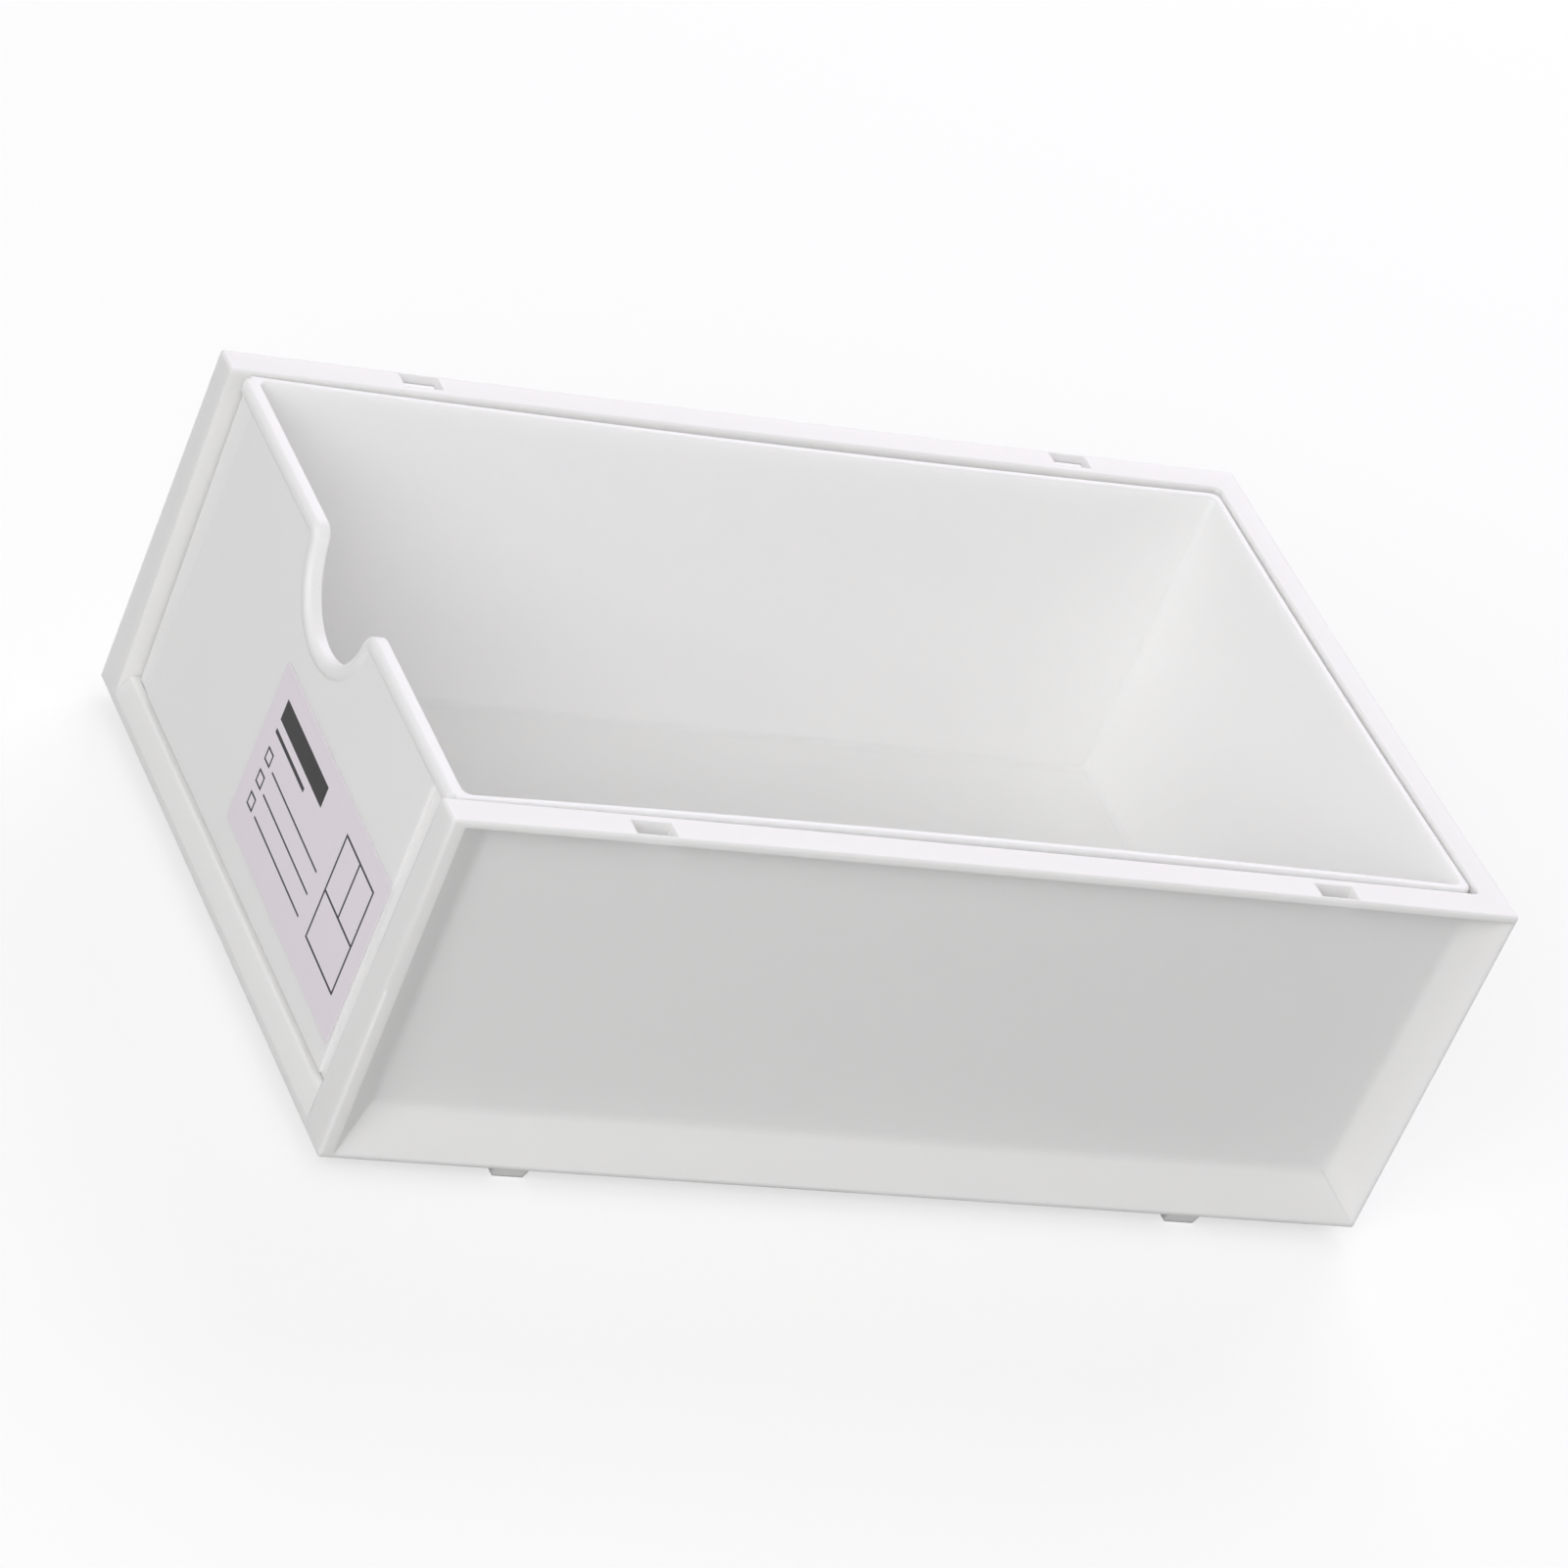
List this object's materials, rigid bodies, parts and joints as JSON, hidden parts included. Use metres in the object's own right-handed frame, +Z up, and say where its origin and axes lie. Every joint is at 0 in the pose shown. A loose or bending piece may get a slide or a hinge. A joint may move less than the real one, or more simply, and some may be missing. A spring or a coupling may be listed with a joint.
{
  "type": "stackable drawer box",
  "caption": "Low stackable box for a desk: an open-topped case with a rim, slots and feet, and a tray with a finger notch and a sticker that slides out of its open front.",
  "frame": {"origin": "on the ground, under the middle of the case's rim", "axes": "+X to the right seen from the front, +Y from the front to the back, +Z up"},
  "size_m": [0.116, 0.1792, 0.064],
  "materials": {
    "case_plastic": "satin white polypropylene with softly rounded, glossier edges",
    "tray_plastic": "satin white polypropylene, smooth inside",
    "sticker": "plain pale lilac film, matt, unprinted"
  },
  "bodies": {
    "case": {"case": "case_plastic"},
    "drawer": {"drawer": "tray_plastic", "label": "sticker"}
  },
  "joints": [
    {"name": "drawer_slide", "type": "slide", "parent": "case", "child": "drawer", "axis": [0, -1, 0], "range_m": [0, 0.11]}
  ]
}
